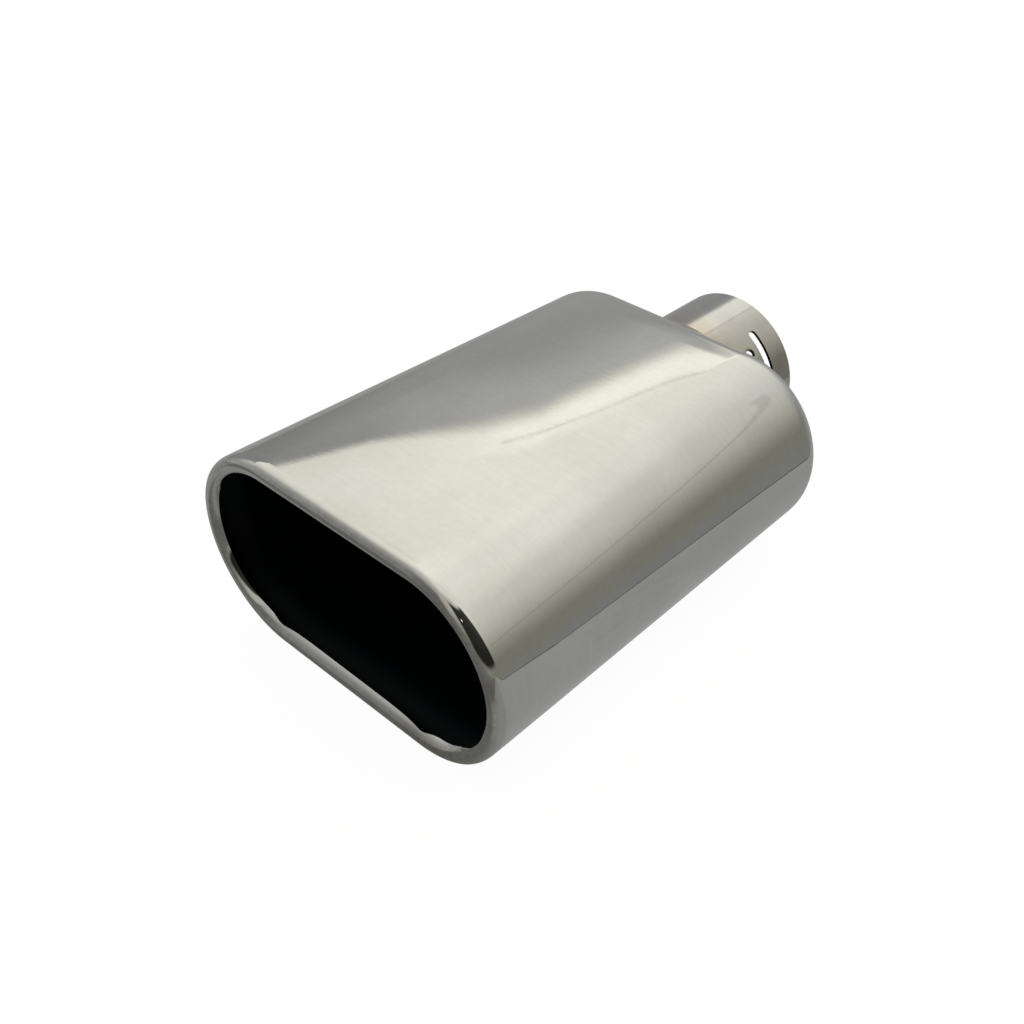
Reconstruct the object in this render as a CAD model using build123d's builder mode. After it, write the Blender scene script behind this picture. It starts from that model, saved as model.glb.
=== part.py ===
from build123d import *
import os
from math import cos, sin, radians

# Exhaust tip: flat-oval outlet shell with a rolled lip, round inlet tube welded in its rear wall.
# Millimetres. Origin: centre of the inlet tube's open end. +Y points out of the inlet along the
# tube's axis, the outlet faces -Y, +Z is up, and the wide side of the oval lies along X.

# ---- driving dimensions -------------------------------------------------------------------
MOUTH_WIDTH = 150.0      # over the rolled lip
MOUTH_HEIGHT = 78.0
MOUTH_CORNER = 38.9      # radius of the oval's ends at the lip
REAR_WIDTH = 138.9       # where the rear shoulder starts
REAR_HEIGHT = 74.0
REAR_CORNER = 36.9
SHOULDER_RADIUS = 12.0   # rounding between the skin and the rear wall
SHELL_WALL = 1.0         # sheet thickness of the shell
SHELL_DROP = 1.4         # how far the shell's centre line lies below the tube's axis

Y_MOUTH = -214.0         # front of the lip
Y_SHOULDER = -45.3       # start of the rear shoulder
Y_REAR = Y_SHOULDER + SHOULDER_RADIUS    # outside of the rear wall

LIP_DEPTH = 1.9          # half depth of the roll along the axis, outside of the sheet
LIP_RISE = 3.25          # half height of the roll across the sheet
LIP_PROUD = 0.10         # how far the roll stands out of the skin
LIP_BLEND = 4.0          # length of the run from the roll back to the skin
HEM_MAX = 3.8            # longest reach of the turned-in hem behind the mouth's front, before trimming

TUBE_RADIUS = 30.0
TUBE_WALL = 1.2
TUBE_INSIDE = 16.0       # how far the tube reaches in past the rear wall
TUBE_GAP = 0.05          # clearance of the tube in the rear wall's hole

SLOT_WIDTH = 3.7         # long slot around the tube's side
SLOT_Y = -12.05
SLOT_FROM = -2.0         # degrees above the horizontal, right-hand side
SLOT_TO = 57.8

HOLE_RADIUS = 2.5        # screw hole
HOLE_Y = -19.3
HOLE_ANGLE = 42.3

WELD_LEG = 3.2           # weld in the corner between tube and rear wall

# Depth of the hem's edge behind the mouth's front at each x, along the bottom: even along the
# flat, with a short cut-back at each end of it and a longer piece beside each cut-back.
HEM_END = 2.2            # the same depth all round both ends of the oval
HEM_EDGE = [
    (-63, HEM_END), (-59, 2.2), (-55, 2.65), (-51, 2.95), (-47, 3.3), (-44.5, 3.15), (-42.2, 2.5),
    (-40.4, 1.95), (-38.3, 1.73), (-36.2, 2.0), (-34.0, 2.45), (-31, 2.8), (-27, 3.0),
    (-22.5, 3.13), (-10, 3.1), (5, 3.05), (17, 2.97), (22.5, 2.84), (27, 2.58), (30.2, 2.15),
    (32.8, 1.7), (35.8, 1.3), (37.6, 1.4), (39.2, 2.1), (41.4, 2.9), (44, 3.12), (46.5, 2.75),
    (49, 2.4), (51.5, 2.1), (56, 2.06), (63, HEM_END),
]
# the same along the top, with no cut-back
HEM_EDGE_TOP = [(-63, HEM_END), (-44, 2.9), (-30, 3.08), (0, 3.1), (30, 3.08), (44, 2.9), (63, HEM_END)]


# ---- outer shell ---------------------------------------------------------------------------
# Planes across the axis: sketch x is +X, sketch y is +Z, and the normal is -Y. The shell's
# sketches are centred on its own centre line, the tube's on the tube's axis.
def across(y, drop=0.0):
    return Plane(origin=(0, y, -drop), x_dir=(1, 0, 0), z_dir=(0, -1, 0))


y_skin = Y_MOUTH + LIP_DEPTH + LIP_BLEND            # front end of the skin
skin_w = MOUTH_WIDTH - 2 * LIP_PROUD
skin_h = MOUTH_HEIGHT - 2 * LIP_PROUD
skin_r = MOUTH_CORNER - LIP_PROUD
# the taper runs on in a straight line through the shoulder to the rear wall
run = (Y_REAR - y_skin) / (Y_SHOULDER - y_skin)
rear_w = skin_w + (REAR_WIDTH - skin_w) * run
rear_h = skin_h + (REAR_HEIGHT - skin_h) * run
rear_r = skin_r + (REAR_CORNER - skin_r) * run
# the same taper carried a little past the mouth, for the cut that opens the shell
past = -10.0
front = past / (Y_SHOULDER - y_skin)

with BuildPart() as skin_outer:
    with BuildSketch(across(y_skin, SHELL_DROP)):
        RectangleRounded(skin_w, skin_h, skin_r)
    with BuildSketch(across(Y_REAR, SHELL_DROP)):
        RectangleRounded(rear_w, rear_h, rear_r)
    loft(ruled=True)
    fillet(skin_outer.faces().sort_by(Axis.Y)[-1].edges(), radius=SHOULDER_RADIUS)

with BuildPart() as skin_inner:
    with BuildSketch(across(y_skin + past, SHELL_DROP)):
        RectangleRounded(
            skin_w + (REAR_WIDTH - skin_w) * front - 2 * SHELL_WALL,
            skin_h + (REAR_HEIGHT - skin_h) * front - 2 * SHELL_WALL,
            skin_r + (REAR_CORNER - skin_r) * front - SHELL_WALL,
        )
    with BuildSketch(across(Y_REAR - SHELL_WALL, SHELL_DROP)):
        RectangleRounded(rear_w - 2 * SHELL_WALL, rear_h - 2 * SHELL_WALL, rear_r - SHELL_WALL)
    loft(ruled=True)
    fillet(
        skin_inner.faces().sort_by(Axis.Y)[-1].edges(),
        radius=SHOULDER_RADIUS - SHELL_WALL,
    )

# The roll: a half ring of sheet around the mouth, with its outer end blended into the skin and
# its inner end turned back into a short hem. Drawn on the plane x = 0 above the axis, where
# sketch x runs back along +Y from the mouth and sketch y is +Z.
roll = Plane(
    origin=(0, Y_MOUTH, MOUTH_HEIGHT / 2 - SHELL_DROP), x_dir=(0, 1, 0), z_dir=(1, 0, 0)
)
a_out, b_out = LIP_DEPTH, LIP_RISE
a_in, b_in = LIP_DEPTH - SHELL_WALL, LIP_RISE - SHELL_WALL
tail = LIP_DEPTH + LIP_BLEND          # meets the skin's front end face to face
with BuildPart() as lip:
    with BuildLine(across(Y_MOUTH, SHELL_DROP)) as mouth_path:
        w, h, r = MOUTH_WIDTH / 2, MOUTH_HEIGHT / 2, MOUTH_CORNER
        Polyline((0, h), (-(w - r), h))
        RadiusArc((-(w - r), h), (-w, h - r), -r)
        Line((-w, h - r), (-w, -(h - r)))
        RadiusArc((-w, -(h - r)), (-(w - r), -h), -r)
        Line((-(w - r), -h), (w - r, -h))
        RadiusArc((w - r, -h), (w, -(h - r)), -r)
        Line((w, -(h - r)), (w, h - r))
        RadiusArc((w, h - r), (w - r, h), -r)
        Line((w - r, h), (0, h))
    with BuildSketch(roll):
        with BuildLine():
            # outside of the sheet, from the skin round the front of the roll to the hem's end
            Line((tail, -LIP_PROUD), (a_out, 0))
            EllipticalCenterArc((a_out, -b_out), a_out, b_out, 90, arc_size=180)
            Line((a_out, -2 * b_out), (HEM_MAX, -2 * b_out))
            Line((HEM_MAX, -2 * b_out), (HEM_MAX, -2 * b_out + SHELL_WALL))
            Line((HEM_MAX, -2 * b_out + SHELL_WALL), (a_out, -2 * b_out + SHELL_WALL))
            # inside of the sheet, back to the skin
            EllipticalCenterArc((a_out, -b_out), a_in, b_in, 90, arc_size=180)
            Line((a_out, -SHELL_WALL), (tail, -LIP_PROUD - SHELL_WALL))
            Line((tail, -LIP_PROUD - SHELL_WALL), (tail, -LIP_PROUD))
        make_face()
    sweep(path=mouth_path.wires()[0])

# What the hem is trimmed back with: everything behind its wavy edge, inside the skin.
hem_inset = 4.6
with BuildPart() as hem_trim:
    for edge_points, z_from, z_to in (
        (HEM_EDGE, -MOUTH_HEIGHT / 2, 0),
        (HEM_EDGE_TOP, 0, MOUTH_HEIGHT / 2),
    ):
        with BuildSketch(Plane.XY.offset(z_from - SHELL_DROP)):
            with BuildLine():
                pts = [(x, Y_MOUTH + d) for x, d in edge_points]
                Spline(*pts, tangents=[(1, 0), (1, 0)])
                far = MOUTH_WIDTH / 2 + 2
                Polyline(
                    pts[-1],
                    (far, pts[-1][1]),
                    (far, Y_MOUTH + 12),
                    (-far, Y_MOUTH + 12),
                    (-far, pts[0][1]),
                    pts[0],
                )
            make_face()
        extrude(amount=z_to - z_from)
    with BuildSketch(across(Y_MOUTH - 5, SHELL_DROP)):
        RectangleRounded(
            MOUTH_WIDTH - 2 * hem_inset, MOUTH_HEIGHT - 2 * hem_inset, MOUTH_CORNER - hem_inset
        )
    extrude(amount=-25, mode=Mode.INTERSECT)

with BuildPart() as outer_shell:
    add(skin_outer.part)
    add(skin_inner.part, mode=Mode.SUBTRACT)
    # hole for the tube in the rear wall
    with BuildSketch(across(Y_REAR + 2)):
        Circle(TUBE_RADIUS + TUBE_GAP)
    extrude(amount=6, mode=Mode.SUBTRACT)
    add(lip.part)
    add(hem_trim.part, mode=Mode.SUBTRACT)
outer_shell.part.label = "outer_shell"

# ---- inlet tube ----------------------------------------------------------------------------
y_tube_front = Y_REAR - TUBE_INSIDE
hole_dir = (cos(radians(HOLE_ANGLE)), 0, sin(radians(HOLE_ANGLE)))
hole_plane = Plane(
    origin=(hole_dir[0] * TUBE_RADIUS, HOLE_Y, hole_dir[2] * TUBE_RADIUS),
    x_dir=(0, 1, 0),
    z_dir=hole_dir,
)


def slot_end(angle):
    d = (cos(radians(angle)), 0, sin(radians(angle)))
    return Plane(origin=(d[0] * TUBE_RADIUS, SLOT_Y, d[2] * TUBE_RADIUS), x_dir=(0, 1, 0), z_dir=d)


end_angle = SLOT_WIDTH / 2 / TUBE_RADIUS * 57.29578
with BuildPart() as inlet_tube:
    with BuildSketch(across(0)):
        Circle(TUBE_RADIUS)
        Circle(TUBE_RADIUS - TUBE_WALL, mode=Mode.SUBTRACT)
    extrude(amount=-y_tube_front)
    with BuildSketch(hole_plane.offset(-5)):
        Circle(HOLE_RADIUS)
    extrude(amount=7, mode=Mode.SUBTRACT)
    # long slot: a sector cut with a round cut at each end
    with BuildSketch(
        Plane(
            origin=(0, SLOT_Y, 0),
            x_dir=(cos(radians(SLOT_FROM + end_angle)), 0, sin(radians(SLOT_FROM + end_angle))),
            z_dir=(-sin(radians(SLOT_FROM + end_angle)), 0, cos(radians(SLOT_FROM + end_angle))),
        )
    ):
        with Locations((TUBE_RADIUS, 0)):
            Rectangle(8, SLOT_WIDTH)
    revolve(
        axis=Axis((0, 0, 0), (0, -1, 0)),
        revolution_arc=SLOT_TO - SLOT_FROM - 2 * end_angle,
        mode=Mode.SUBTRACT,
    )
    with BuildSketch(slot_end(SLOT_FROM + end_angle).offset(-4)):
        Circle(SLOT_WIDTH / 2)
    extrude(amount=8, mode=Mode.SUBTRACT)
    with BuildSketch(slot_end(SLOT_TO - end_angle).offset(-4)):
        Circle(SLOT_WIDTH / 2)
    extrude(amount=8, mode=Mode.SUBTRACT)
inlet_tube.part.label = "inlet_tube"

# ---- weld between tube and rear wall -------------------------------------------------------
# A flat fillet in the corner between the two. It follows the shell where the tube, which is wider
# than the rear wall's flat, runs out over the shoulder at the top and the bottom.
with BuildPart() as tube_weld:
    add(skin_outer.part)
    with BuildSketch(across(Y_REAR - 8)):
        Circle(TUBE_RADIUS)
    extrude(amount=-(8 + 14))
    corner = [
        e
        for e in tube_weld.edges()
        if Y_REAR - 6 < e.center().Y < Y_REAR + 0.5
        and all(abs((p.X**2 + p.Z**2) ** 0.5 - TUBE_RADIUS) < 0.01 for p in (e @ 0, e @ 0.5, e @ 1))
    ]
    chamfer(corner, length=WELD_LEG)
    add(skin_outer.part, mode=Mode.SUBTRACT)
    with BuildSketch(across(Y_REAR - 30)):
        Circle(TUBE_RADIUS)
    extrude(amount=-60, mode=Mode.SUBTRACT)
tube_weld.part.label = "tube_weld"

os.makedirs("parts", exist_ok=True)
export_step(outer_shell.part, "parts/outer_shell.step")
export_step(inlet_tube.part, "parts/inlet_tube.step")
export_step(tube_weld.part, "parts/tube_weld.step")
for piece in (outer_shell, inlet_tube, tube_weld):
    box = piece.part.bounding_box()
    print(piece.part.label, len(piece.part.solids()), round(piece.part.volume, 1), box.min, box.max)
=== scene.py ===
import bpy
import math
import numpy as np
from mathutils import Matrix, Vector
from mathutils.geometry import delaunay_2d_cdt


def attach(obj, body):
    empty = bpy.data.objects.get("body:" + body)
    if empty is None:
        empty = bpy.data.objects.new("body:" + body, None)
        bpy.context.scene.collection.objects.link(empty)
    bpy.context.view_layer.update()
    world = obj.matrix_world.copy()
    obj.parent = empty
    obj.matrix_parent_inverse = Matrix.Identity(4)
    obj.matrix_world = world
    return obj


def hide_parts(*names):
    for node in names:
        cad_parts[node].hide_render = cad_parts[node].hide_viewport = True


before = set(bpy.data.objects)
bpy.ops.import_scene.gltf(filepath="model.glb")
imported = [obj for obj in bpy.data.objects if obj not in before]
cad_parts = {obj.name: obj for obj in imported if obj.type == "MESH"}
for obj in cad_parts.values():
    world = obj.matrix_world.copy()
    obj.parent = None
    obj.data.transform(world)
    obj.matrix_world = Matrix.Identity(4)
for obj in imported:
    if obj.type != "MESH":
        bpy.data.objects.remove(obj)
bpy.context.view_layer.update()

# The exhaust tip, in the row's frame: origin at the centre of the inlet tube's open end, +Y out of
# the inlet, the outlet faces -Y, +Z up. Numbers below are in millimetres until a mesh is made.
MM = 0.001
DROP = 1.4                                   # the shell's centre line lies this far below the tube's
A1, B1 = 75.0, 39.0                          # half width and half height over the rolled lip
A2, B2 = 69.45, 37.0                         # the same where the rear shoulder starts
Y_MOUTH, Y_SHOULDER, RHO = -214.0, -45.3, 12.0
Y_REAR = Y_SHOULDER + RHO
LIP_A, LIP_B = 1.9, 3.25                     # half depth and half height of the roll
PROUD, BLEND = 0.10, 4.0
ROLL_LOW, ROLL_HIGH = 1.9, 4.6               # depth of the roll's outer half, at the bottom and at the top
CURL, CURL_Y, CURL_L = 0.060, -197.0, 15.0   # the skin draws in very slightly towards the roll
WALL, COAT = 1.0, 0.12                       # sheet with its inside coating, and the coating alone
R_TUBE, T_TUBE = 30.0, 1.2
Y_TUBE = Y_REAR - 16.0                       # inner end of the tube
SLOT_Y, SLOT_W, SLOT_FROM, SLOT_TO = -12.05, 3.7, -2.0, 57.8
HOLE_Y, HOLE_R, HOLE_ANG = -19.3, 2.5, 42.3
Z_FLOOR = -(B1 + DROP) - 0.02

HEM_END = 2.2
HEM_EDGE = [
    (-63, HEM_END), (-59, 2.2), (-55, 2.65), (-51, 2.95), (-47, 3.3), (-44.5, 3.15), (-42.2, 2.5),
    (-40.4, 1.95), (-38.3, 1.73), (-36.2, 2.0), (-34.0, 2.45), (-31, 2.8), (-27, 3.0),
    (-22.5, 3.13), (-10, 3.1), (5, 3.05), (17, 2.97), (22.5, 2.84), (27, 2.58), (30.2, 2.15),
    (32.8, 1.7), (35.8, 1.3), (37.6, 1.4), (39.2, 2.1), (41.4, 2.9), (44, 3.12), (46.5, 2.75),
    (49, 2.4), (51.5, 2.1), (56, 2.06), (63, HEM_END),
]
HEM_TOP = [(-63, HEM_END), (-44, 2.9), (-30, 3.08), (0, 3.1), (30, 3.08), (44, 2.9), (63, HEM_END)]


# ---- small helpers --------------------------------------------------------------------------
def smooth(x, a, b):
    t = np.clip((np.asarray(x, float) - a) / (b - a), 0.0, 1.0)
    return t * t * (3 - 2 * t)


def curve_through(points, x):
    """Monotone-safe cubic through given points."""
    px = np.array([p[0] for p in points], float)
    py = np.array([p[1] for p in points], float)
    h = np.diff(px)
    d = np.diff(py) / h
    m = np.zeros_like(py)
    for i in range(1, len(px) - 1):
        if d[i - 1] * d[i] > 0:
            w1, w2 = 2 * h[i] + h[i - 1], h[i] + 2 * h[i - 1]
            m[i] = (w1 + w2) / (w1 / d[i - 1] + w2 / d[i])
    x = np.clip(x, px[0], px[-1])
    k = np.clip(np.searchsorted(px, x, side="right") - 1, 0, len(h) - 1)
    t = (x - px[k]) / h[k]
    return (
        (2 * t**3 - 3 * t**2 + 1) * py[k] + (t**3 - 2 * t**2 + t) * h[k] * m[k]
        + (-2 * t**3 + 3 * t**2) * py[k + 1] + (t**3 - t**2) * h[k] * m[k + 1]
    )


class Build:
    """Collects vertices and faces of one closed piece."""

    def __init__(self):
        self.v, self.f, self.sharp = [], [], []

    def add(self, pts):
        i = len(self.v)
        self.v.extend([tuple(p) for p in pts])
        return list(range(i, i + len(pts)))

    def bridge(self, a, b):
        n = len(a)
        for i in range(n):
            j = (i + 1) % n
            self.f.append((a[i], a[j], b[j], b[i]))

    def crease(self, a):
        n = len(a)
        self.sharp.extend([(a[i], a[(i + 1) % n]) for i in range(n)])

    def rings(self, rings, creases=()):
        ids = [self.add(r) for r in rings]
        for k in range(len(ids) - 1):
            self.bridge(ids[k], ids[k + 1])
        for k in creases:
            self.crease(ids[k])
        return ids

    def make(self, name, material, nodes):
        me = bpy.data.meshes.new(name)
        me.from_pydata([(x * MM, y * MM, z * MM) for x, y, z in self.v], [], self.f)
        me.validate()
        me.shade_smooth()
        want = {tuple(sorted(e)) for e in self.sharp}
        if want:
            for e in me.edges:
                if tuple(sorted(e.vertices)) in want:
                    e.use_edge_sharp = True
        ob = bpy.data.objects.new(name, me)
        bpy.context.scene.collection.objects.link(ob)
        bpy.context.view_layer.objects.active = ob
        ob.select_set(True)
        bpy.ops.object.mode_set(mode="EDIT")
        bpy.ops.mesh.select_all(action="SELECT")
        bpy.ops.mesh.normals_make_consistent(inside=False)
        bpy.ops.object.mode_set(mode="OBJECT")
        ob.select_set(False)
        me.materials.append(material)
        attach(ob, "root")
        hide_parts(*nodes)
        return ob


# ---- the oval section -----------------------------------------------------------------------
N_ARC, N_FLAT = 220, 110                     # points round each end and along each flat


def unit_section():
    """For each point round the oval: the end's centre sign, and the outward direction."""
    sx, dx, dz, fx = [], [], [], []
    for i in range(N_ARC):                   # right end, from the bottom to the top
        t = math.radians(-90 + 180 * i / N_ARC)
        sx.append(1.0); dx.append(math.cos(t)); dz.append(math.sin(t))
    for i in range(N_FLAT):                  # top, from right to left
        sx.append(1.0 - 2.0 * i / N_FLAT); dx.append(0.0); dz.append(1.0)
    for i in range(N_ARC):                   # left end
        t = math.radians(90 + 180 * i / N_ARC)
        sx.append(-1.0); dx.append(math.cos(t)); dz.append(math.sin(t))
    for i in range(N_FLAT):                  # bottom, from left to right
        sx.append(-1.0 + 2.0 * i / N_FLAT); dx.append(0.0); dz.append(-1.0)
    return np.array(sx), np.array(dx), np.array(dz)


SX, DX, DZ = unit_section()
N = len(SX)


def section(a, b, o):
    """x and z round an oval of half sizes a, b, moved inward by o (o may vary round it)."""
    c = a - b
    return SX * c + DX * (b - o), DZ * (b - o) - DROP


def ring(a, b, o, y):
    x, z = section(a, b, o)
    return np.column_stack([x, np.broadcast_to(y, x.shape), z])


mouth_x, mouth_z = section(A1, B1, 2 * LIP_B)
EDGE = np.where(mouth_z < -DROP, curve_through(HEM_EDGE, mouth_x), curve_through(HEM_TOP, mouth_x))
Y_SKIN = Y_MOUTH + LIP_A + BLEND


ROLL = ROLL_LOW + (ROLL_HIGH - ROLL_LOW) * smooth(0.75 * DZ + 0.55 * DX, -0.45, 0.55)
Y_ROLL = Y_MOUTH + ROLL                      # where the roll ends and the skin starts
OPEN_ROLL = smooth(-0.8 * DZ - 0.5 * DX, -0.25, 0.45)
IN_A = LIP_A + (8.31 - LIP_A) * OPEN_ROLL    # the roll's inner half, flatter at the bottom and left,
IN_B = LIP_B + (4.17 - LIP_B) * OPEN_ROLL    # is cut off at the hem's edge


def edge_depth():
    """Depth of the hem's edge on the inner half, where it shows at the same height as measured."""
    flat = LIP_B * np.sqrt(1 - (1 - np.minimum(EDGE, LIP_A) / LIP_A) ** 2)
    want = 0.43 * EDGE + 0.79 * flat
    lo, hi = np.zeros(N), IN_A.copy()
    for _ in range(40):
        mid = (lo + hi) / 2
        got = 0.43 * mid + 0.79 * IN_B * np.sqrt(1 - (1 - mid / IN_A) ** 2)
        lo, hi = np.where(got < want, mid, lo), np.where(got < want, hi, mid)
    return lo


TAU_E = np.arcsin(1 - edge_depth() / IN_A)


def skin_size(y):
    """Half width, half height and inward curl of the skin's outside at y."""
    s = (y - Y_SKIN) / (Y_SHOULDER - Y_SKIN)
    a0, b0 = A1 - PROUD, B1 - PROUD
    u = np.clip((CURL_Y - y) / CURL_L, 0, 1)
    return a0 + (A2 - a0) * s, b0 + (B2 - b0) * s, CURL * u * u


def skin_rings(inset, y_from, n, power=1.0):
    out = []
    for k in range(n):
        y = y_from + (Y_SHOULDER - y_from) * (k / (n - 1)) ** power
        a, b, o = skin_size(y)
        out.append(ring(a, b, inset + o, y))
    return out


def shoulder_height(d, rho):
    """How far past the shoulder's start the rear surface lies at inward distance d."""
    d = np.clip(d, 0, rho)
    return np.sqrt(np.maximum(rho * rho - (rho - d) ** 2, 0))


def inward_distance(x, z):
    """Distance inward from the oval where the shoulder starts."""
    c = A2 - B2
    px = np.maximum(np.abs(x) - c, 0)
    return B2 - np.hypot(px, z + DROP)


def cap(build, loop, inset, hole_r, n_hole, rho):
    """Rear wall between the shoulder's loop and the tube's hole. Returns the hole's loop."""
    outer = np.array([build.v[i] for i in loop])
    t = np.arange(n_hole) * 2 * math.pi / n_hole
    hx, hz = hole_r * np.cos(t), hole_r * np.sin(t)
    pts = [(p[0], p[2]) for p in outer] + list(zip(hx, hz))
    n1, n2 = len(outer), n_hole
    edges = [(i, (i + 1) % n1) for i in range(n1)]
    edges += [(n1 + i, n1 + (i + 1) % n2) for i in range(n2)]
    d_loop = inward_distance(outer[:, 0], outer[:, 2]).mean()
    # rows of points that follow the shoulder, then a plain grid on the flat
    extra = []
    for q in (4.9, 5.8, 6.8, 7.9, 9.2, 10.5, 12.0, 13.5):
        d = q + inset
        if d < d_loop + 0.5:
            continue
        c, r = A2 - B2, B2 - d
        m = 300
        for i in range(m):
            u = i / m * 4
            if u < 1:
                a = math.radians(-90 + 180 * u); p = (c + r * math.cos(a), r * math.sin(a) - DROP)
            elif u < 2:
                p = (c - 2 * c * (u - 1), r - DROP)
            elif u < 3:
                a = math.radians(90 + 180 * (u - 2)); p = (-c + r * math.cos(a), r * math.sin(a) - DROP)
            else:
                p = (-c + 2 * c * (u - 3), -r - DROP)
            if math.hypot(*p) > hole_r + 0.7:
                extra.append(p)
    for gx in np.arange(-58, 58.1, 2.0):
        for gz in np.arange(-24, 24.1, 2.0):
            if math.hypot(gx, gz) > hole_r + 1.0 and inward_distance(gx, gz) > 15 + inset:
                extra.append((gx, gz))
    base = len(pts)
    vec = [Vector(p) for p in pts + extra]
    vo, eo, fo, ov, oe, of = delaunay_2d_cdt(vec, edges, [], 1, 1e-6)
    ids = {}
    for k, orig in enumerate(ov):
        for o in orig:
            if o < n1:
                ids[k] = loop[o]
    new = [k for k in range(len(vo)) if k not in ids]
    xs = np.array([vo[k][0] for k in new]); zs = np.array([vo[k][1] for k in new])
    d = inward_distance(xs, zs) - inset
    ys = Y_SHOULDER + shoulder_height(d, rho)
    got = build.add(np.column_stack([xs, ys, zs]))
    for k, g in zip(new, got):
        ids[k] = g
    for f in fo:
        cx = sum(vo[k][0] for k in f) / len(f); cz = sum(vo[k][1] for k in f) / len(f)
        if math.hypot(cx, cz) < hole_r - 1e-4:
            continue
        build.f.append(tuple(ids[k] for k in f))
    hole = [None] * n2
    for k, orig in enumerate(ov):
        for o in orig:
            if n1 <= o < base:
                hole[o - n1] = ids[k]
    return hole


# ---- materials ------------------------------------------------------------------------------
def new_material(name):
    m = bpy.data.materials.new(name)
    m.use_nodes = True
    t = m.node_tree
    t.nodes.clear()
    out = t.nodes.new("ShaderNodeOutputMaterial")
    p = t.nodes.new("ShaderNodeBsdfPrincipled")
    t.links.new(p.outputs["BSDF"], out.inputs["Surface"])
    co = t.nodes.new("ShaderNodeTexCoord")
    return m, t, p, co


def mapped(t, co, scale, rot=(0, 0, 0)):
    mp = t.nodes.new("ShaderNodeMapping")
    mp.inputs["Scale"].default_value = scale
    mp.inputs["Rotation"].default_value = rot
    t.links.new(co.outputs["Object"], mp.inputs["Vector"])
    return mp.outputs["Vector"]


def noise(t, vec, scale, detail=4.0, rough=0.55, dist=0.0):
    n = t.nodes.new("ShaderNodeTexNoise")
    n.inputs["Scale"].default_value = scale
    n.inputs["Detail"].default_value = detail
    n.inputs["Roughness"].default_value = rough
    n.inputs["Distortion"].default_value = dist
    t.links.new(vec, n.inputs["Vector"])
    return n.outputs["Fac"]


def ramp(t, fac, stops, kind="EASE"):
    r = t.nodes.new("ShaderNodeValToRGB")
    r.color_ramp.interpolation = kind
    while len(r.color_ramp.elements) < len(stops):
        r.color_ramp.elements.new(0.5)
    for e, (pos, col) in zip(r.color_ramp.elements, stops):
        e.position = pos
        e.color = (*col, 1.0) if len(col) == 3 else col
    t.links.new(fac, r.inputs["Fac"])
    return r.outputs["Color"]


def math_node(t, op, a, b):
    n = t.nodes.new("ShaderNodeMath")
    n.operation = op
    for i, v in enumerate((a, b)):
        if isinstance(v, (int, float)):
            n.inputs[i].default_value = v
        else:
            t.links.new(v, n.inputs[i])
    return n.outputs[0]


def mix_color(t, fac, a, b, mode="MIX"):
    n = t.nodes.new("ShaderNodeMix")
    n.data_type = "RGBA"
    n.blend_type = mode
    if isinstance(fac, (int, float)):
        n.inputs[0].default_value = fac
    else:
        t.links.new(fac, n.inputs[0])
    for i, v in ((6, a), (7, b)):
        if isinstance(v, tuple):
            n.inputs[i].default_value = (*v, 1.0)
        else:
            t.links.new(v, n.inputs[i])
    return n.outputs[2]


def bump(t, p, height, strength, distance):
    b = t.nodes.new("ShaderNodeBump")
    b.inputs["Strength"].default_value = strength
    b.inputs["Distance"].default_value = distance
    t.links.new(height, b.inputs["Height"])
    t.links.new(b.outputs["Normal"], p.inputs["Normal"])
    return b


def near_mouth(t, co, y_from, y_to):
    """0 to 1 along the object's Y."""
    sep = t.nodes.new("ShaderNodeSeparateXYZ")
    t.links.new(co.outputs["Object"], sep.inputs[0])
    mr = t.nodes.new("ShaderNodeMapRange")
    mr.interpolation_type = "SMOOTHSTEP"
    mr.inputs["From Min"].default_value = y_from
    mr.inputs["From Max"].default_value = y_to
    t.links.new(sep.outputs["Y"], mr.inputs["Value"])
    return mr.outputs[0]


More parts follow.
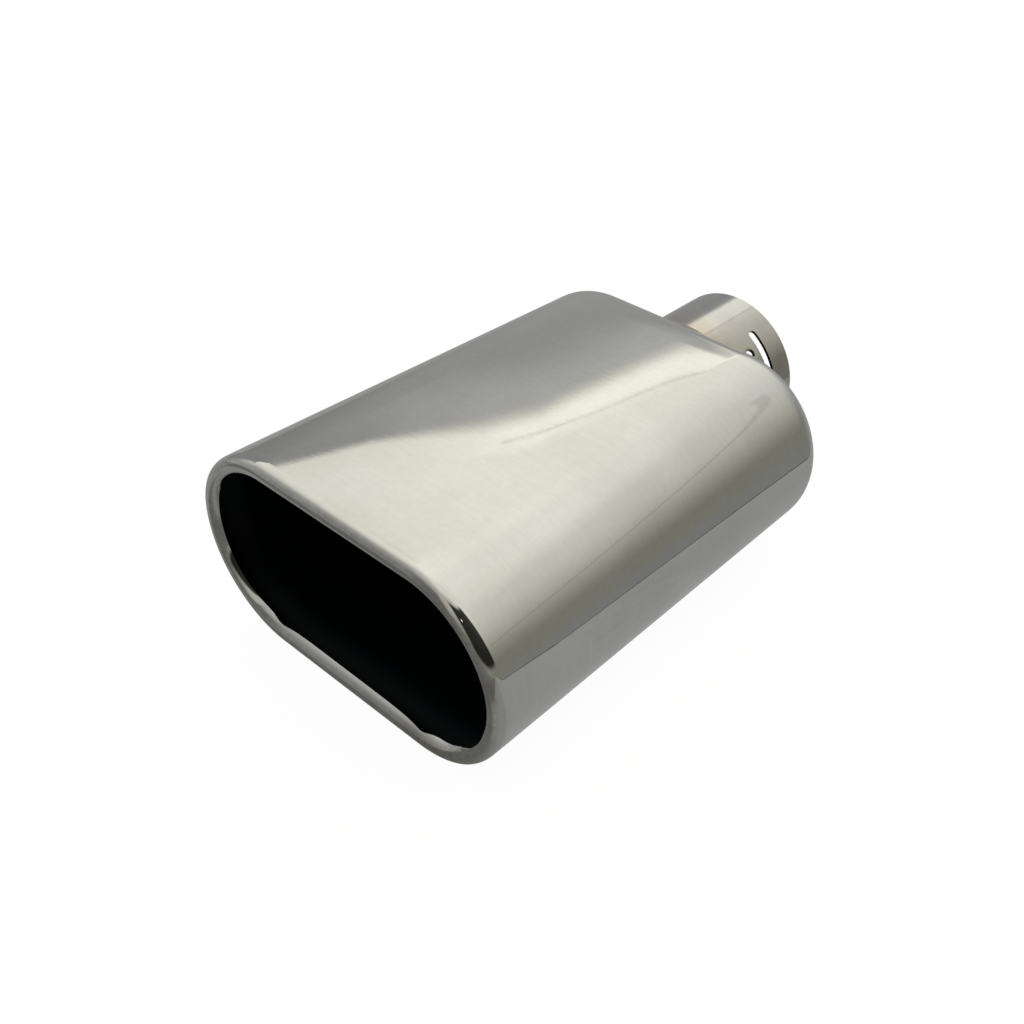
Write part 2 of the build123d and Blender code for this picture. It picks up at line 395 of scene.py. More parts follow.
def polished_steel():
    m, t, p, co = new_material("polished_steel")
    p.inputs["Metallic"].default_value = 1.0
    cloud = noise(t, mapped(t, co, (1, 1, 1)), 34, 4, 0.55)
    fine = noise(t, mapped(t, co, (1, 1, 1)), 420, 3, 0.6)
    rub = noise(t, mapped(t, co, (45, 700, 45)), 1.0, 4, 0.65)
    base = ramp(t, cloud, [(0.30, (0.632, 0.622, 0.594)), (0.70, (0.668, 0.662, 0.642))])
    tone = ramp(t, math_node(t, "ADD", math_node(t, "MULTIPLY", fine, 0.5), math_node(t, "MULTIPLY", rub, 0.5)),
                [(0.32, (0.90, 0.90, 0.895)), (0.68, (1.0, 1.0, 1.0))])
    skin = mix_color(t, 0.5, base, tone, "MULTIPLY")
    # the rolled lip is duller: fine streaks, darker in places, brownish towards the bottom right
    lip = near_mouth(t, co, -0.2116, -0.2134)
    streak = noise(t, mapped(t, co, (520, 260, 620), (0, 0.6, 0)), 1.0, 5, 0.7)
    patch = noise(t, mapped(t, co, (1, 1, 1)), 62, 3, 0.6)
    marks = ramp(t, streak, [(0.34, (0.86, 0.85, 0.825)), (0.60, (1.0, 0.99, 0.965))])
    sep = t.nodes.new("ShaderNodeSeparateXYZ")
    t.links.new(co.outputs["Object"], sep.inputs[0])
    low = t.nodes.new("ShaderNodeMapRange")
    low.inputs["From Min"].default_value = 0.0
    low.inputs["From Max"].default_value = 0.075
    t.links.new(math_node(t, "SUBTRACT", sep.outputs["X"], sep.outputs["Z"]), low.inputs["Value"])
    brown = math_node(t, "MULTIPLY", low.outputs[0], ramp(t, patch, [(0.42, (0, 0, 0)), (0.62, (1, 1, 1))]))
    worn = mix_color(t, math_node(t, "MULTIPLY", brown, 0.55), marks, (0.60, 0.52, 0.38))
    lip_col = mix_color(t, 1.0, skin, worn, "MULTIPLY")
    t.links.new(mix_color(t, lip, skin, lip_col), p.inputs["Base Color"])
    r = math_node(t, "MULTIPLY_ADD", cloud, 0.035)
    r.node.inputs[2].default_value = 0.008
    r2 = math_node(t, "MULTIPLY_ADD", lip, 0.12)
    t.links.new(r, r2.node.inputs[2])
    t.links.new(r2, p.inputs["Roughness"])
    h = math_node(t, "ADD", math_node(t, "MULTIPLY", fine, 0.5), math_node(t, "MULTIPLY", rub, 0.5))
    bump(t, p, h, 0.10, 0.00002)
    return m


def tube_steel():
    m, t, p, co = new_material("tube_steel")
    p.inputs["Metallic"].default_value = 1.0
    cloud = noise(t, mapped(t, co, (1, 1, 1)), 60, 4, 0.6)
    rub = noise(t, mapped(t, co, (160, 1300, 160)), 1.0, 4, 0.65)
    base = ramp(t, cloud, [(0.3, (0.570, 0.562, 0.545)), (0.7, (0.640, 0.634, 0.618))])
    sep = t.nodes.new("ShaderNodeSeparateXYZ")
    t.links.new(co.outputs["Object"], sep.inputs[0])
    # painted highlight: a bright band along the top of the tube, with a darker line just beside it and duller metal on
    # both sides; below the tube's middle the tone is flat
    x = t.nodes.new("ShaderNodeMapRange")
    x.inputs["From Min"].default_value = -0.004
    x.inputs["From Max"].default_value = 0.012
    t.links.new(math_node(t, "ADD", sep.outputs["X"], math_node(t, "MULTIPLY", rub, 0.0008)), x.inputs["Value"])
    up = t.nodes.new("ShaderNodeMapRange")
    up.inputs["From Min"].default_value = -0.002
    up.inputs["From Max"].default_value = 0.004
    t.links.new(sep.outputs["Z"], up.inputs["Value"])
    # painted highlight band along the top of the tube, with a darker painted line beside it
    painted_top_highlight = ramp(t, x.outputs[0], [(0.0, (0.80, 0.80, 0.81)), (0.22, (0.86, 0.86, 0.87)), (0.36, (1.0, 1.0, 1.0)),
                                  (0.74, (1.0, 1.0, 0.985)), (0.785, (0.74, 0.73, 0.70)), (0.83, (0.87, 0.85, 0.82)),
                                  (1.0, (0.83, 0.81, 0.775))], "LINEAR")
    # below the tube's middle a flat tone, above it the painted highlight band
    shade = mix_color(t, up.outputs[0], (0.86, 0.85, 0.83), painted_top_highlight)
    near = near_mouth(t, co, -0.016, -0.031)
    blot = noise(t, mapped(t, co, (1, 1, 1)), 110, 4, 0.6)
    heat = math_node(t, "MULTIPLY", near, ramp(t, blot, [(0.30, (0.15, 0.15, 0.15)), (0.65, (1, 1, 1))]))
    tint = mix_color(t, math_node(t, "MULTIPLY", heat, 0.75), (1.0, 1.0, 1.0), (0.93, 0.82, 0.68))
    body = mix_color(t, 1.0, mix_color(t, 1.0, base, shade, "MULTIPLY"), tint, "MULTIPLY")
    t.links.new(body, p.inputs["Base Color"])
    r = math_node(t, "MULTIPLY_ADD", cloud, 0.10)
    r.node.inputs[2].default_value = 0.10
    t.links.new(r, p.inputs["Roughness"])
    bump(t, p, rub, 0.15, 0.00003)
    return m


def weld_steel():
    m, t, p, co = new_material("weld_steel")
    p.inputs["Metallic"].default_value = 1.0
    n = noise(t, mapped(t, co, (1, 1, 1)), 260, 4, 0.6)
    t.links.new(ramp(t, n, [(0.3, (0.34, 0.31, 0.28)), (0.55, (0.50, 0.45, 0.38)), (0.75, (0.36, 0.38, 0.44))]),
                p.inputs["Base Color"])
    r = math_node(t, "MULTIPLY_ADD", n, 0.3)
    r.node.inputs[2].default_value = 0.18
    t.links.new(r, p.inputs["Roughness"])
    bump(t, p, n, 0.2, 0.0001)
    return m


def black_coating():
    m, t, p, co = new_material("black_coating")
    n = noise(t, mapped(t, co, (1, 1, 1)), 500, 4, 0.6)
    t.links.new(ramp(t, n, [(0.3, (0.0006, 0.0020, 0.0034)), (0.7, (0.0014, 0.0036, 0.0056))]), p.inputs["Base Color"])
    p.inputs["Specular IOR Level"].default_value = 0.10
    r = math_node(t, "MULTIPLY_ADD", n, 0.2)
    r.node.inputs[2].default_value = 0.42
    t.links.new(r, p.inputs["Roughness"])
    bump(t, p, n, 0.2, 0.0001)
    return m


STEEL, TUBE, WELD, BLACK = polished_steel(), tube_steel(), weld_steel(), black_coating()


# ---- outer shell: the steel sheet -----------------------------------------------------------
def shoulder_rings(inset, rho, d_to=4.4, n=9):
    q = np.arccos(1 - d_to / rho)
    out = []
    for k in range(1, n + 1):
        t = q * k / n
        d = rho * (1 - math.cos(t))
        out.append(ring(A2, B2, inset + d, Y_SHOULDER + rho * math.sin(t)))
    return out


def steel_outside():
    rings = []
    for k in range(15):                      # inner half of the roll, from the hem's edge to the front
        tau = TAU_E + (math.pi / 2 - TAU_E) * k / 14
        rings.append(ring(A1, B1, LIP_B + IN_B * np.cos(tau), Y_MOUTH + IN_A * (1 - np.sin(tau))))
    a_end, b_end, o_end = skin_size(Y_ROLL)
    for k in range(1, 23):                   # outer half, from the front to the skin
        t = math.pi / 2 * (1 - k / 22)
        w = math.cos(t)
        rings.append(ring(A1 + (a_end - A1) * w, B1 + (b_end - B1) * w, LIP_B * (1 - w) + o_end * w,
                          Y_MOUTH + ROLL * (1 - math.sin(t))))
    return rings


def steel_inside():
    rings = []
    for k in range(9):
        tau = TAU_E + (math.pi / 2 - TAU_E) * k / 8
        rings.append(ring(A1, B1, LIP_B + (IN_B - WALL) * np.cos(tau),
                          Y_MOUTH + IN_A - (IN_A - WALL) * np.sin(tau)))
    for k in range(1, 9):
        t = math.pi / 2 * (1 - k / 8)
        rings.append(ring(A1, B1, LIP_B - (LIP_B - WALL - 0.1) * math.cos(t),
                          Y_MOUTH + ROLL - (ROLL - WALL) * math.sin(t)))
    return rings


shell = Build()
outs = steel_outside() + skin_rings(0.0, Y_ROLL, 36, 1.5)[1:]
outs += shoulder_rings(0.0, RHO)
ids = shell.rings(outs, [0])
hole_out = cap(shell, ids[-1], 0.0, R_TUBE + 0.05, 240, RHO)
w_in = WALL - COAT
rho_in = RHO - w_in
ins = steel_inside() + skin_rings(w_in, Y_ROLL + 1.0, 10)
ins += shoulder_rings(w_in, rho_in, 4.4, 7)
ids_in = shell.rings(ins, [0])
shell.bridge(ids_in[0], ids[0])
hole_in = cap(shell, ids_in[-1], w_in, R_TUBE + 0.05, 240, rho_in)
shell.bridge(hole_out, hole_in)
shell.crease(hole_out)
shell.crease(hole_in)
shell_ob = shell.make("outer_shell_steel", STEEL, ["outer_shell"])

# ---- outer shell: the black coating on its inside ----------------------------------------------
coat = Build()
back = skin_rings(w_in + 0.01, Y_ROLL + 1.4, 10) + shoulder_rings(w_in + 0.01, rho_in - 0.01, 4.4, 7)
front = skin_rings(WALL, Y_ROLL + 1.4, 10) + shoulder_rings(WALL, RHO - WALL, 4.4, 7)
ib = coat.rings(back)
ifr = coat.rings(front)
coat.bridge(ib[0], ifr[0])
hb = cap(coat, ib[-1], w_in + 0.01, R_TUBE + 0.05, 240, rho_in - 0.01)
hf = cap(coat, ifr[-1], WALL, R_TUBE + 0.05, 240, RHO - WALL)
coat.bridge(hb, hf)
coat.make("outer_shell_coating", BLACK, ["outer_shell"])


# ---- inlet tube -----------------------------------------------------------------------------
def stadium_loop(cx, cy, half_len, r, n_end, n_side):
    """Closed outline of a slot that runs along the first coordinate."""
    pts = []
    for i in range(n_end):
        t = math.radians(-90 + 180 * i / n_end); pts.append((cx + half_len + r * math.cos(t), cy + r * math.sin(t)))
    for i in range(n_side):
        pts.append((cx + half_len - 2 * half_len * i / n_side, cy + r))
    for i in range(n_end):
        t = math.radians(90 + 180 * i / n_end); pts.append((cx - half_len + r * math.cos(t), cy + r * math.sin(t)))
    for i in range(n_side):
        pts.append((cx - half_len + 2 * half_len * i / n_side, cy - r))
    return pts


SEAM = math.radians(-150.0)
U_FULL = 2 * math.pi * R_TUBE
n_round = 300
slot_mid = math.radians((SLOT_FROM + SLOT_TO) / 2)
slot_half = math.radians(SLOT_TO - SLOT_FROM) / 2 * R_TUBE - SLOT_W / 2
hole_u = (math.radians(HOLE_ANG) - SEAM) * R_TUBE
slot_u = (slot_mid - SEAM) * R_TUBE


def tube_sheet(build, radius, y0, y1, slot_grow, hole_r):
    """One side of the tube's wall, with openings for the slot and the hole."""
    slot = stadium_loop(slot_u, SLOT_Y, slot_half, SLOT_W / 2 + slot_grow, 20, 60)
    hole = [(hole_u + hole_r * math.cos(t), HOLE_Y + hole_r * math.sin(t))
            for t in np.arange(48) * 2 * math.pi / 48]
    us = np.arange(n_round + 1) * U_FULL / n_round
    rows = np.linspace(y0, y1, 40)
    pts, edges = [], []

    def loop(p):
        i = len(pts)
        pts.extend(p)
        edges.extend([(i + k, i + (k + 1) % len(p)) for k in range(len(p))])
        return range(i, i + len(p))

    border = [(u, y0) for u in us] + [(U_FULL, y) for y in rows[1:-1]]
    border += [(u, y1) for u in us[::-1]] + [(0.0, y) for y in rows[::-1][1:-1]]
    loop(border)
    s_ids, h_ids = loop(slot), loop(hole)

    def clear(u, y):
        du = max(abs(u - slot_u) - slot_half, 0)
        if math.hypot(du, y - SLOT_Y) < SLOT_W / 2 + slot_grow + 0.35:
            return False
        return math.hypot(u - hole_u, y - HOLE_Y) > hole_r + 0.35

    for y in rows[1:-1]:
        for u in us[1:-1]:
            if clear(u, y):
                pts.append((u, y))
    vo, eo, fo, ov, oe, of = delaunay_2d_cdt([Vector(p) for p in pts], edges, [], 1, 1e-6)
    where, first = {}, {}
    ids = []
    for k, p in enumerate(vo):
        p = pts[ov[k][0]] if ov[k] else p
        u = p[0] if p[0] < U_FULL - 1e-5 else 0.0
        key = (round(u, 4), round(p[1], 4))
        if key not in where:
            ang = SEAM + u / R_TUBE
            where[key] = build.add([(radius * math.cos(ang), p[1], radius * math.sin(ang))])[0]
        ids.append(where[key])
    for f in fo:
        cu = sum(vo[k][0] for k in f) / len(f); cy = sum(vo[k][1] for k in f) / len(f)
        du = max(abs(cu - slot_u) - slot_half, 0)
        if math.hypot(du, cy - SLOT_Y) < SLOT_W / 2 + slot_grow - 0.01:
            continue
        if math.hypot(cu - hole_u, cy - HOLE_Y) < hole_r - 0.01:
            continue
        tri = tuple(ids[k] for k in f)
        if len(set(tri)) == len(tri):
            build.f.append(tri)
    back = {}
    for k, orig in enumerate(ov):
        for o in orig:
            back[o] = ids[k]
    end0 = [where[(round(u, 4), round(y0, 4))] for u in us[:-1]]
    end1 = [where[(round(u, 4), round(y1, 4))] for u in us[:-1]]
    return [back[o] for o in s_ids], [back[o] for o in h_ids], end0, end1


def on_tube(pts, radius):
    return [(radius * math.cos(SEAM + u / R_TUBE), y, radius * math.sin(SEAM + u / R_TUBE)) for u, y in pts]


def circle_uv(r, n=48):
    return [(hole_u + r * math.cos(t), HOLE_Y + r * math.sin(t)) for t in np.arange(n) * 2 * math.pi / n]


tube = Build()
ch = 0.07
r_in = R_TUBE - T_TUBE
s_out, h_out, e0_out, e1_out = tube_sheet(tube, R_TUBE, Y_TUBE + ch, -ch, ch, HOLE_R + 0.2)
s_in, h_in, e0_in, e1_in = tube_sheet(tube, r_in, Y_TUBE + ch, -ch, ch, HOLE_R)
# slot wall with a small break on both edges
slot_at = stadium_loop(slot_u, SLOT_Y, slot_half, SLOT_W / 2, 20, 60)
sa = tube.add(on_tube(slot_at, R_TUBE - ch))
sb = tube.add(on_tube(slot_at, r_in + ch))
for p, q in ((s_out, sa), (sa, sb), (sb, s_in)):
    tube.bridge(p, q)
for p in (s_out, sa, sb, s_in):
    tube.crease(p)
# screw hole: broken edge at the outside, narrowing into a dark thread
prof = [(HOLE_R + 0.06, 0.03), (HOLE_R, 0.10), (HOLE_R - 0.38, 0.30), (HOLE_R - 0.08, 0.50),
        (HOLE_R - 0.48, 0.70), (HOLE_R - 0.12, 0.90), (HOLE_R - 0.55, 1.08), (HOLE_R - 0.50, 1.16)]
prev = h_out
for k, (r, dep) in enumerate(prof):
    cur = tube.add(on_tube(circle_uv(r), R_TUBE - dep))
    tube.bridge(prev, cur)
    tube.crease(cur)
    prev = cur
tube.bridge(prev, h_in)
# the two cut ends
for eo_, ei_, y, yy in ((e0_out, e0_in, Y_TUBE, Y_TUBE + ch), (e1_out, e1_in, 0.0, -ch)):
    ang = SEAM + np.arange(n_round) * 2 * math.pi / n_round
    ra = tube.add(np.column_stack([(R_TUBE - ch) * np.cos(ang), np.full(n_round, y), (R_TUBE - ch) * np.sin(ang)]))
    rb = tube.add(np.column_stack([(r_in + ch) * np.cos(ang), np.full(n_round, y), (r_in + ch) * np.sin(ang)]))
    for p, q in ((eo_, ra), (ra, rb), (rb, ei_)):
        tube.bridge(p, q)
    for p in (eo_, ra, rb, ei_):
        tube.crease(p)
tube.make("inlet_tube_steel", TUBE, ["inlet_tube"])

# ---- weld bead between tube and rear wall ---------------------------------------------------
bead = Build()
nt, ns = 720, 13
tt = np.arange(nt) * 2 * math.pi / nt
leg = 3.1
rip = 0.5 - 0.5 * np.cos(tt * 110 + 0.6 * np.sin(tt * 7) + 0.4 * np.sin(tt * 3 + 1.0))


def wall_y(r, t):
    x, z = r * np.cos(t), r * np.sin(t)
    return Y_SHOULDER + shoulder_height(inward_distance(x, z), RHO)


loops = []
r0 = R_TUBE + 0.01
y_foot = wall_y(r0, tt)
out_r = R_TUBE + leg * (0.97 + 0.03 * np.sin(tt * 5 + 0.7))
y_out = wall_y(out_r, tt)
y_top = y_foot + leg * (0.96 + 0.04 * np.sin(tt * 4))
for k in range(ns):
    s = k / (ns - 1)
    r = R_TUBE + (out_r - R_TUBE) * s + 0.01
    y = y_top + (y_out - y_top) * s
    bulge = math.sin(math.pi * s)
    lag = 0.5 - 0.5 * np.cos((tt + 0.010 * bulge) * 110 + 0.6 * np.sin(tt * 7) + 0.4 * np.sin(tt * 3 + 1.0))
    h = bulge * (0.18 + 0.16 * lag)
    loops.append(np.column_stack([(r + h * 0.7) * np.cos(tt), y + h * 0.7, (r + h * 0.7) * np.sin(tt)]))
for k in (0.66, 0.33):
    r = R_TUBE + (out_r - R_TUBE) * k
    loops.append(np.column_stack([r * np.cos(tt), wall_y(r, tt) - 0.02, r * np.sin(tt)]))
loops.append(np.column_stack([r0 * np.cos(tt), y_foot - 0.02, r0 * np.sin(tt)]))
bi = bead.rings(loops)
bead.bridge(bi[-1], bi[0])
bead.crease(bi[ns - 1])
bead.crease(bi[-1])
bead.crease(bi[0])
bead.make("tube_weld_bead", WELD, ["tube_weld"])


# ---- camera ---------------------------------------------------------------------------------
def place_camera():
    az, el, roll = math.radians(44.925), math.radians(37.432), math.radians(0.910)
    back_v = Vector((math.sin(az) * math.cos(el), -math.cos(az) * math.cos(el), math.sin(el)))
    fwd = -back_v
    right = fwd.cross(Vector((0, 0, 1))).normalized()
    down = fwd.cross(right)
    r2 = right * math.cos(roll) + down * math.sin(roll)
    d2 = -right * math.sin(roll) + down * math.cos(roll)
    focal = 1299.319
    pos = Vector((268.265, -400.336, 283.342))
    f2 = (fwd - (r2 + d2) * (0.5 / focal)).normalized()
    r3 = (r2 - f2 * r2.dot(f2)).normalized()
    d3 = f2.cross(r3)
    cam = bpy.data.cameras.new("camera")
    cam.sensor_width = 36.0
    cam.lens = focal * 36.0 / 1024
    cam.clip_start = 0.01
    cam.clip_end = 30
    ob = bpy.data.objects.new("camera", cam)
    bpy.context.scene.collection.objects.link(ob)
    m = Matrix((
        (r3[0], -d3[0], -f2[0], pos[0] * MM),
        (r3[1], -d3[1], -f2[1], pos[1] * MM),
        (r3[2], -d3[2], -f2[2], pos[2] * MM),
        (0, 0, 0, 1),
    ))
    ob.matrix_world = m
    bpy.context.scene.camera = ob


place_camera()


# ---- studio ---------------------------------------------------------------------------------
def panel_top(az):
    """Upper edge of the grey panel that stands to the left, behind the tip."""
    return np.interp(az, [-90, -58, -55, -52, -46, -43, -40, -36, -33, -28],
                     [36, 34.5, 33.75, 33.3, 32.85, 32.2, 30.9, 29.1, 28.4, 28])


def studio(az, el):
    """Light of the surroundings by direction, in degrees: azimuth 0 along +Y, 90 along +X."""
    az = np.asarray(az, float)
    el = np.asarray(el, float)
    side = np.abs(az)
    # open sky, bright above and falling off to the right
    high = 0.71 - 0.20 * smooth(az, -32, 22) + 0.02 * smooth(-az, 35, 50)
    high = high + (0.03 + 0.12 * smooth(az, -20, 15) - 0.05 * smooth(az, 15, 40)) * smooth(el, 40, 52)
    high = high - 0.085 * smooth(-az, 46, 56) * (1 - smooth(el, 44, 56))
    high = high * (1 - 0.40 * smooth(side, 62, 125))
    behind = smooth(side, 105, 165)
    high = high * (1 - behind) + 0.38 * behind
    low = 0.25 - 0.085 * smooth(az, -5, 36) + 0.05 * smooth(side, 80, 130)
    low = low * (1 - behind) + 0.12 * behind
    e0 = np.interp(az, [-180, -34, -30, -15, 0, 20, 60, 180], [0, 18, 14, -2, -4, 3, 4, 0])
    e1 = np.interp(az, [-180, -34, -30, -15, 0, 20, 60, 180], [40, 28, 28, 30, 34, 40, 40, 40])
    t = np.clip((el - e0) / (e1 - e0), 0, 1)
    t = 0.55 * t + 0.45 * t * t * (3 - 2 * t)
    front_left = smooth(-az, 96, 118)
    t = t * (1 - front_left) + front_left * smooth(el, 32, 70)
    v = low + (high - low) * t
    # grey panel on the left with a bright rim
    top = panel_top(az)
    edge = 0.16 + 0.42 * smooth(az, -53, -44)
    rim = 0.12 * smooth(az, -50, -42) * smooth(el, top - 0.4, top + 0.3) * (1 - smooth(el, top + 1.0, top + 1.7))
    rim = rim * (1 - smooth(az, -32, -27))
    grey = 0.240 + 0.018 * smooth(az, -58, -48) + 0.10 * smooth(el, top - 3.2, top - 0.5) * smooth(az, -54, -44) - 0.03 * smooth(el, 14, -10) - 0.05 * smooth(-az, 54, 64)
    inside = (1 - smooth(az, -34.5, -31.5)) * smooth(az, -100, -80) * (1 - smooth(el, top - edge, top + edge))
    v = v + rim
    v = v * (1 - inside) + grey * inside
    # someone stands to the right of the camera
    dark = smooth(az, 64, 70) * (1 - smooth(az, 146, 156)) * smooth(el, 2, 9) * (1 - smooth(el, 62, 68))
    v = v * (1 - 0.94 * dark)
    over = smooth(el, 66, 86)
    v = v * (1 - over) + 0.62 * over
    warm = smooth(v, 0.25, 0.6)
    olive = smooth(az, 10, 40) * (1 - warm) * smooth(el, -14, -4)
    r = v * (1.0 + 0.02 * warm + 0.01 * olive)
    b = v * (0.965 - 0.03 * warm * smooth(side + 12 * smooth(el, 40, 50), 8, 34) - 0.06 * warm - 0.12 * olive)
    return r, v, b


STEEL_F = np.array([0.636, 0.629, 0.607])       # what the polished steel sends back


def color_mesh(name, verts, faces, cols, strength):
    me = bpy.data.meshes.new(name)
    me.from_pydata(verts, [], faces)
    ca = me.color_attributes.new("light", "FLOAT_COLOR", "POINT")
    flat = np.ones((len(verts), 4), np.float32)
    flat[:, :3] = cols
    ca.data.foreach_set("color", flat.ravel())
    me.shade_smooth()
    m = bpy.data.materials.new(name)
    m.use_nodes = True
    t = m.node_tree
    t.nodes.clear()
    out = t.nodes.new("ShaderNodeOutputMaterial")
    em = t.nodes.new("ShaderNodeEmission")
    em.inputs["Strength"].default_value = strength
    at = t.nodes.new("ShaderNodeVertexColor")
    at.layer_name = "light"
    t.links.new(at.outputs["Color"], em.inputs["Color"])
    t.links.new(em.outputs[0], out.inputs["Surface"])
    m.cycles.emission_sampling = "NONE"
    me.materials.append(m)
    ob = bpy.data.objects.new(name, me)
    bpy.context.scene.collection.objects.link(ob)
    ob.visible_camera = False
    ob.visible_shadow = False
    return ob


def make_dome():
    rad = 40.0
    azs = np.concatenate([np.arange(-180, -66, 3), np.arange(-66, -28, 0.35), np.arange(-28, 64, 1.0),
                          np.arange(64, 180, 3)])
    els = np.concatenate([np.arange(-89.5, 26, 1.5), np.arange(26, 36, 0.1), np.arange(36, 90, 1.5)])
    verts, cols = [], []
    n_az, n_el = len(azs), len(els)
    for e in els:
        r, g, b = studio(azs, np.full(n_az, e))
        ce = math.cos(math.radians(e))
        t = np.radians(azs)
        verts.extend(np.column_stack([rad * ce * np.sin(t), rad * ce * np.cos(t),
                                      np.full(n_az, rad * math.sin(math.radians(e)))]).tolist())
        cols.extend((np.column_stack([r, g, b]) / STEEL_F).tolist())
    faces = []
    for k in range(n_el - 1):
        for i in range(n_az):
            j = (i + 1) % n_az
            faces.append((k * n_az + i, k * n_az + j, (k + 1) * n_az + j, (k + 1) * n_az + i))
    for k, z in ((0, -rad), (n_el - 1, rad)):
        pole = len(verts)
        verts.append((0.0, 0.0, z))
        cols.append(cols[k * n_az])
        faces.extend([(k * n_az + i, k * n_az + (i + 1) % n_az, pole) for i in range(n_az)])
    return color_mesh("studio_surroundings", verts, faces, np.array(cols), 1.0)


def make_strip(name, points, width, share):
    """A thin dark edge in the surroundings, through points given by direction."""
    rad = 39.0
    pts = np.array(points, float)
    az = np.linspace(pts[0, 0], pts[-1, 0], 120)
    el = np.interp(az, pts[:, 0], pts[:, 1])
    el = np.convolve(np.pad(el, 6, mode="edge"), np.ones(13) / 13, mode="valid")
    verts, cols = [], []
    for side in (-1, 1):
        for a_, e in zip(az, el):
            e2 = e + side * width / 2
            ce, t = math.cos(math.radians(e2)), math.radians(a_)
            verts.append((rad * ce * math.sin(t), rad * ce * math.cos(t), rad * math.sin(math.radians(e2))))
        r, g, b = studio(az, el)
        cols.extend((np.column_stack([r, g, b]) * share / STEEL_F).tolist())
    n = len(az)
    faces = [(i, i + 1, n + i + 1, n + i) for i in range(n - 1)]
    return color_mesh(name, verts, faces, np.array(cols), 1.0)


def make_ground_reflection():
    """The pale sheet that the tip lies on, as the steel sees it: it ends in an edge on the right."""
    p0, p1 = np.array([206.0, -80.0]), np.array([140.0, 49.0])
    d = (p1 - p0) / np.linalg.norm(p1 - p0)
    n = np.array([d[1], -d[0]])
    if n[0] < 0:
        n = -n
    verts, cols, faces = [], [], []

    def patch(rows):
        first = len(verts)
        m = len(rows[0][0])
        for pts, v in rows:
            for q, g in zip(pts, np.broadcast_to(v, len(pts))):
                verts.append((q[0] * MM, q[1] * MM, (Z_FLOOR + 0.012) * MM))
                cols.append((np.array([0.99 * g, g, 0.945 * g]) / STEEL_F).tolist())
        for k in range(len(rows) - 1):
            for i in range(m - 1):
                a_ = first + k * m + i
                faces.append((a_, a_ + 1, a_ + m + 1, a_ + m))

    # left of the slanting edge, and in front of the straight one
    line = 5.5
    slant = []
    for a_ in (-900, -500, -300, -200, -140, -100, -70, -45, -25, -line - 0.6, -line):
        slant.append(([p0 + d * l_ + n * a_ for l_ in np.linspace(0, 900, 61)], 0.235 + 0.02 * math.exp(a_ / 30)))
    patch(slant)
    patch([([p0 + d * l_ + n * a_ for l_ in np.linspace(0, 900, 61)], 0.060) for a_ in (-line, 0.0)])
    front = []
    xs = np.concatenate([[-900, -600, -400], np.linspace(-300, 300, 121), [400, 600, 900]])
    sides = np.maximum(smooth(xs, 50, 90), smooth(-xs, 95, 125))
    for y_ in (-900, -500, -400, -330, -290, -270, -262, -256, -250, -244, -238, -232, -226, -220, -214, -208, -202,
               -196, -190, -140, -110, -80 - line - 0.6, -80 - line):
        v_ = np.interp(y_, [-900, -500, -300, -214, -202, -190, -84], [0.150, 0.130, 0.108, 0.105, 0.180, 0.236, 0.255])
        v_ = v_ + 0.10 * math.exp(-((y_ + 237) / 11) ** 2) * smooth(-xs, 10, 45)
        if y_ > -275:
            v_ = v_ + (max(0.205, v_.min()) - v_) * sides
        front.append(([np.array([x_, y_]) for x_ in xs], v_))
    patch(front)
    patch([([np.array([x_, y_]) for x_ in np.linspace(206, 900, 61)], 0.060) for y_ in (-80 - line, -80.0)])
    # the small gap between the two parts, left of the corner
    patch([([np.array([x_, y_]) for x_ in np.linspace(-900, 203, 61)], 0.25) for y_ in (-80 - line, -80.0)])
    ob = color_mesh("ground_reflection", verts, faces, np.array(cols), 1.0)
    ob.visible_diffuse = False
    return ob


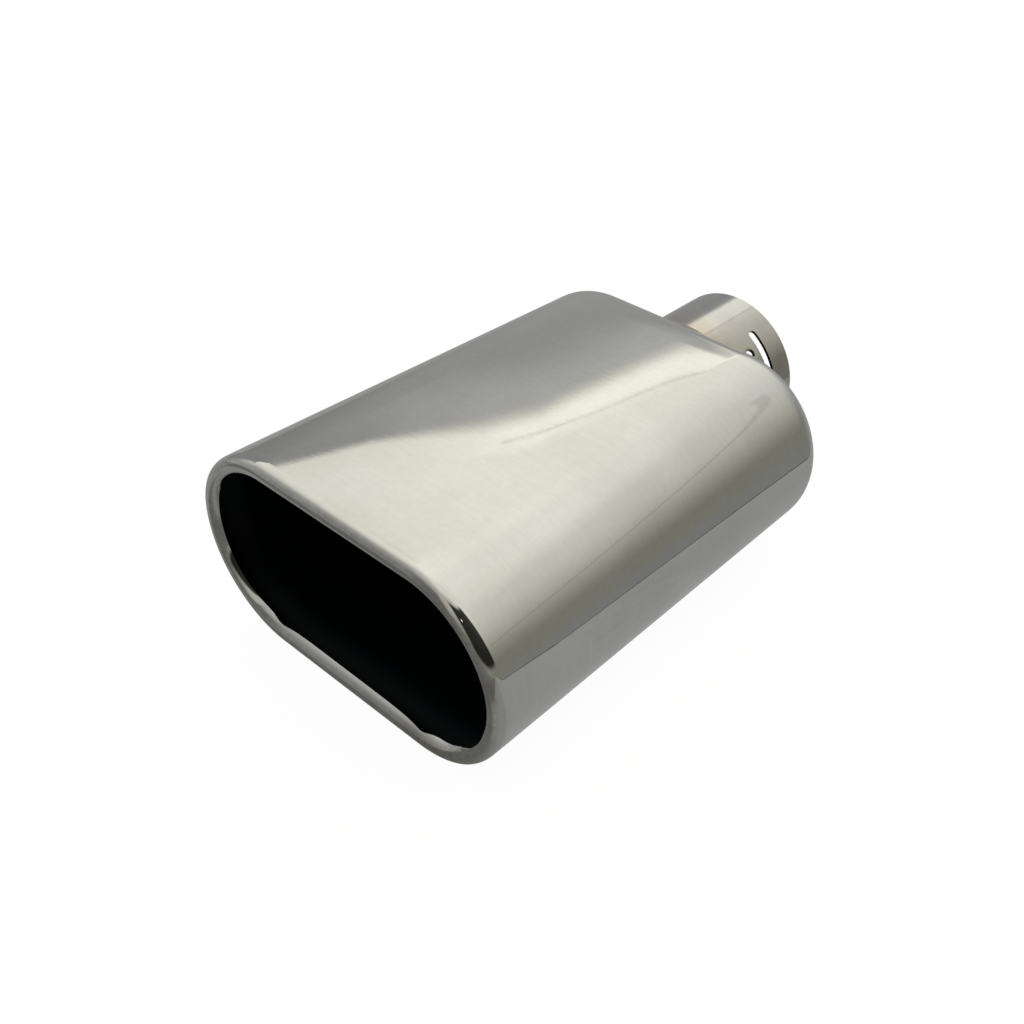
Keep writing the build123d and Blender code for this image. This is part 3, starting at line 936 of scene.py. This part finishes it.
def make_lamp():
    """A small lamp beside the camera, seen only as a glint on the lip."""
    az, el, rad, r = math.radians(131.0), math.radians(47.0), 38.0, 0.9
    c = Vector((math.sin(az) * math.cos(el), math.cos(az) * math.cos(el), math.sin(el)))
    u = c.cross(Vector((0, 0, 1))).normalized()
    w = c.cross(u)
    verts = [tuple(c * rad)] + [tuple(c * rad + (u * math.cos(t) + w * math.sin(t)) * r)
                                for t in [k * math.pi / 12 for k in range(24)]]
    faces = [(0, 1 + k, 1 + (k + 1) % 24) for k in range(24)]
    return color_mesh("lamp", verts, faces, np.full((25, 3), 3.0), 1.0)


def make_floor():
    me = bpy.data.meshes.new("floor")
    s = 6.0
    z = Z_FLOOR * MM
    me.from_pydata([(-s, -s, z), (s, -s, z), (s, s, z), (-s, s, z)], [], [(0, 1, 2, 3)])
    m = bpy.data.materials.new("floor")
    m.use_nodes = True
    t = m.node_tree
    t.nodes.clear()
    out = t.nodes.new("ShaderNodeOutputMaterial")
    em = t.nodes.new("ShaderNodeEmission")
    em.inputs["Strength"].default_value = 0.955
    df = t.nodes.new("ShaderNodeBsdfDiffuse")
    df.inputs["Color"].default_value = (0.10, 0.10, 0.10, 1)
    ad = t.nodes.new("ShaderNodeAddShader")
    t.links.new(em.outputs[0], ad.inputs[0])
    t.links.new(df.outputs[0], ad.inputs[1])
    t.links.new(ad.outputs[0], out.inputs["Surface"])
    m.cycles.emission_sampling = "NONE"
    me.materials.append(m)
    ob = bpy.data.objects.new("floor", me)
    bpy.context.scene.collection.objects.link(ob)
    ob.visible_glossy = False


make_dome()
make_strip("panel_line", [(-45, 33.6), (-43, 33.1), (-40, 32.1), (-36, 30.4), (-33, 29.6), (-30, 29.4)], 0.07, 0.55)
make_strip("corner_line", [(17, 39.0), (22, 36.0), (30, 31.0), (40, 25.0), (50, 19.5), (56, 17.0)], 0.9, 0.86)
make_ground_reflection()
make_lamp()
make_floor()

world = bpy.data.worlds.new("world")
world.use_nodes = True
world.node_tree.nodes["Background"].inputs["Color"].default_value = (1, 1, 1, 1)
world.node_tree.nodes["Background"].inputs["Strength"].default_value = 1.0
bpy.context.scene.world = world
bpy.context.scene.view_settings.view_transform = "Standard"
bpy.context.scene.view_settings.look = "None"
bpy.context.scene.view_settings.exposure = 0.0
bpy.context.scene.view_settings.gamma = 1.0
